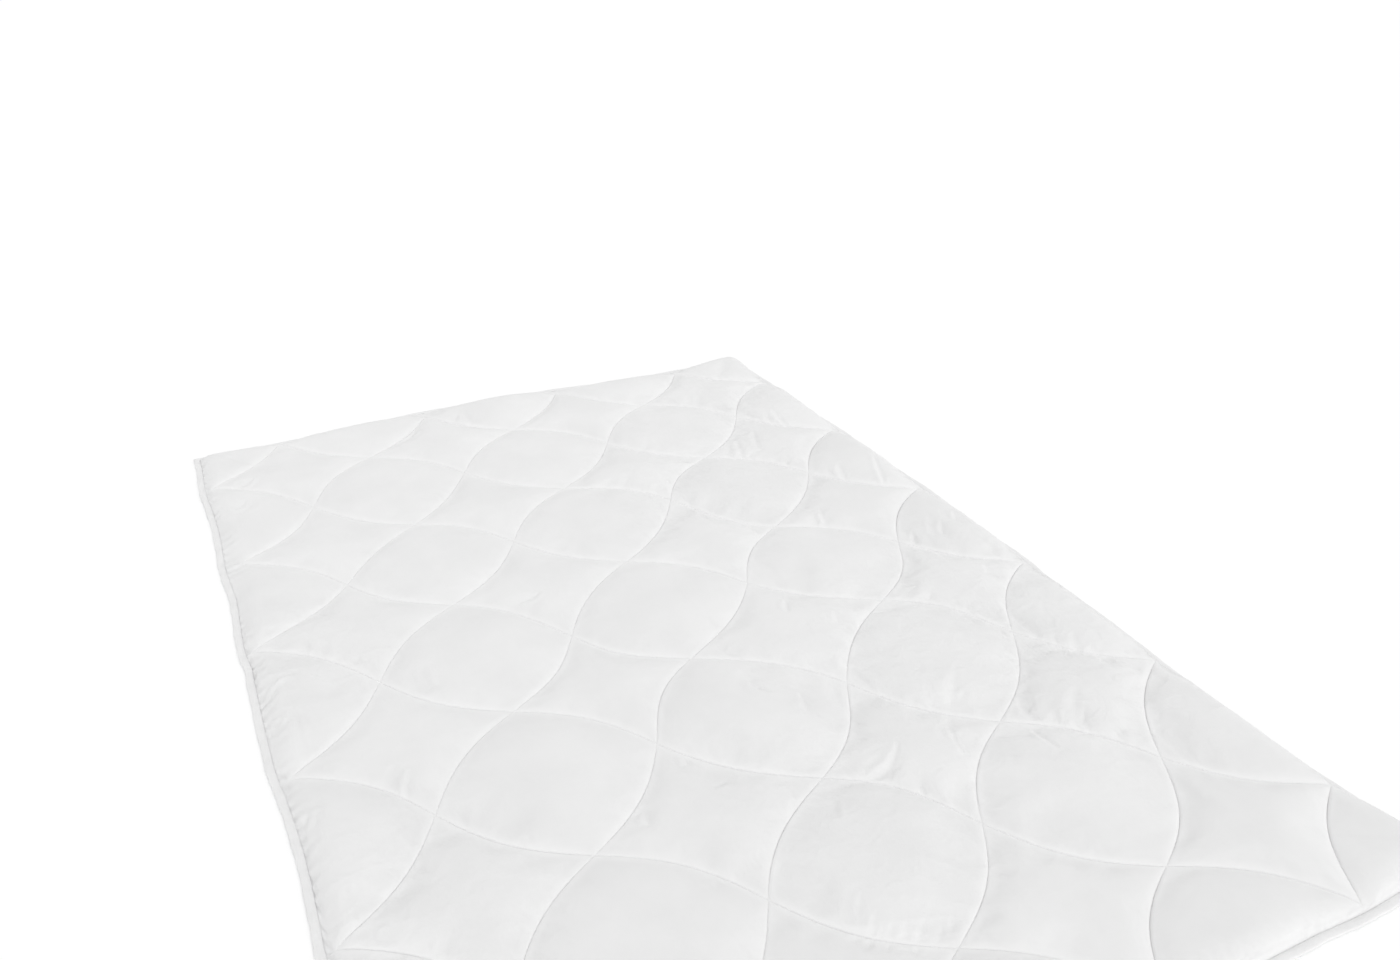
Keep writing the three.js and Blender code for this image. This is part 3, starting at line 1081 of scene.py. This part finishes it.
def painted(nodes, name):
    """The share that was painted on the points of the mesh."""
    node = nodes.new("ShaderNodeAttribute")
    node.attribute_name = name
    return node.outputs["Fac"]


def times(nodes, links, first, second):
    node = nodes.new("ShaderNodeMath")
    node.operation = "MULTIPLY"
    links.new(first, node.inputs[0])
    links.new(second, node.inputs[1])
    return node.outputs["Value"]


def waves(nodes, links, place, direction, waves_a_metre, settings):
    node = nodes.new("ShaderNodeTexWave")
    node.bands_direction = direction
    give(node, {"Scale": waves_a_metre * WAVE_UNIT, **settings})
    links.new(place, node.inputs["Vector"])
    return node.outputs["Fac"]


def gathers(nodes, links, place, direction, name):
    """Small upright waves that come and go along an edge."""
    even = waves(nodes, links, place, direction, GATHERS_A_METRE, GATHER_WAVES)
    patches = two_tones(nodes, links, noise(nodes, links, place, GATHER_PATCHES, 1), 0, 1)
    return times(nodes, links, times(nodes, links, even, patches), painted(nodes, name))


def weave(nodes, links, place, threads_a_metre):
    """Two sets of fine ribs that cross: the greater of two waves."""
    crossed = nodes.new("ShaderNodeMath")
    crossed.operation = "MAXIMUM"
    for slot, direction in enumerate(("X", "Y")):
        ribs = waves(nodes, links, place, direction, threads_a_metre, {"Distortion": 1.5, "Detail": 1})
        links.new(ribs, crossed.inputs[slot])
    return crossed.outputs["Value"]


# %% Shell cloth
CLOTH_DARKER = 0.755
CLOTH_LIGHTER = 0.785
# The lighter white of the painted highlight beside the stitches
CLOTH_HIGHLIGHT = 0.81
CLOTH_THREADS_A_METRE = 2600
CLOTH_FINISH = {
    "Roughness": 0.85,
    "Specular IOR Level": 0.2,
    "Sheen Weight": 0.15,
    "Sheen Roughness": 0.5,
    "Subsurface Weight": 0.5,
    "Subsurface Radius": (1, 1, 1),
    "Subsurface Scale": 0.008,
}

cloth, nodes, links, shader, place = start_material("white_microfibre")
give(shader, CLOTH_FINISH)
whites = two_tones(nodes, links, noise(nodes, links, place, 9, 4), CLOTH_DARKER, CLOTH_LIGHTER)
# Painted highlight: a lighter white is mixed in beside the stitches, where its share is painted
mixed = nodes.new("ShaderNodeMixRGB")
mixed.inputs["Color2"].default_value = (CLOTH_HIGHLIGHT, CLOTH_HIGHLIGHT, CLOTH_HIGHLIGHT, 1)
links.new(painted(nodes, "painted_highlight"), mixed.inputs["Fac"])
links.new(whites, mixed.inputs["Color1"])
links.new(mixed.outputs["Color"], shader.inputs["Base Color"])
lumps = bump(nodes, links, noise(nodes, links, place, 22, 2), 0.35, 0.004)
folds = times(nodes, links, noise(nodes, links, place, 30, 1.5, 0.45, 1.0), painted(nodes, "crumpled"))
crumples = bump(nodes, links, folds, 0.6, 0.006, lumps)
for direction, name in (("Y", "side_gathers"), ("X", "end_gathers")):
    crumples = bump(nodes, links, gathers(nodes, links, place, direction, name), 0.4, 0.006, crumples)
crinkles = bump(nodes, links, noise(nodes, links, place, 95, 3, 0.55, 0.6), 0.18, 0.0012, crumples)
ribs = weave(nodes, links, place, CLOTH_THREADS_A_METRE)
links.new(bump(nodes, links, ribs, 0.15, 0.00008, crinkles), shader.inputs["Normal"])
quilt.data.materials.clear()
quilt.data.materials.append(cloth)
print("the shell cloth has", len(nodes), "nodes")

# %% [markdown]
# The tape and the thread
#
# The tape is made as a plain woven cotton band, a little whiter than the shell and with a coarser weave.
# The thread is made as polyester, twisted from two plies and slightly shinier than the cloths. What they
# are made of can't be told from the photograph, so both are guesses.

# %% Tape and thread
TAPE_DARKER = 0.775
TAPE_LIGHTER = 0.805
TAPE_THREADS_A_METRE = 1400
TAPE_FINISH = {
    "Roughness": 0.8,
    "Specular IOR Level": 0.2,
    "Sheen Weight": 0.1,
    "Subsurface Weight": 0.3,
    "Subsurface Radius": (1, 1, 1),
    "Subsurface Scale": 0.003,
}
THREAD_DARKER = 0.86
THREAD_LIGHTER = 0.90

tape_cloth, nodes, links, shader, place = start_material("white_tape")
give(shader, TAPE_FINISH)
whites = two_tones(nodes, links, noise(nodes, links, place, 30, 3), TAPE_DARKER, TAPE_LIGHTER)
links.new(whites, shader.inputs["Base Color"])
wrinkles = bump(nodes, links, noise(nodes, links, place, 160, 3, 0.5, 0.5), 0.2, 0.0006)
ribs = weave(nodes, links, place, TAPE_THREADS_A_METRE)
links.new(bump(nodes, links, ribs, 0.3, 0.00015, wrinkles), shader.inputs["Normal"])
tape.data.materials.clear()
tape.data.materials.append(tape_cloth)

thread_finish, nodes, links, shader, place = start_material("white_thread")
give(shader, {"Roughness": 0.5})
whites = two_tones(nodes, links, noise(nodes, links, place, 400, 2), THREAD_DARKER, THREAD_LIGHTER)
links.new(whites, shader.inputs["Base Color"])
twist = noise(nodes, links, place, 2500, 2)
links.new(bump(nodes, links, twist, 0.3, 0.0001), shader.inputs["Normal"])
for thread in (upper_thread, lower_thread, tape_thread):
    thread.data.materials.append(thread_finish)
print("the tape and the threads have their finish")

# %% [markdown]
# The floor's finish
#
# The floor is a matt white board. It is whiter than the cloth, which is why the duvet shows on it at all.

# %% Floor finish
FLOOR_DARKER = 0.955
FLOOR_LIGHTER = 0.96

board, nodes, links, shader, place = start_material("white_board")
give(shader, {"Roughness": 0.9, "Specular IOR Level": 0})
whites = two_tones(nodes, links, noise(nodes, links, place, 1.5), FLOOR_DARKER, FLOOR_LIGHTER)
links.new(whites, shader.inputs["Base Color"])
floor.data.materials.append(board)
print("the floor is", board.name)

# %% [markdown]
#
# Each piece rides on the frame's one body, and the quilt and the tape take the place of its two solids.
# The tape, laid flat, is as wide as its two faces and the turn between them, and as long as the edge.

# %% Attach to the body and hide the solids
for piece in (quilt, tape, upper_thread, lower_thread, tape_thread):
    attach(piece, "root")
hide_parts("quilt")
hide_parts("edge_binding")
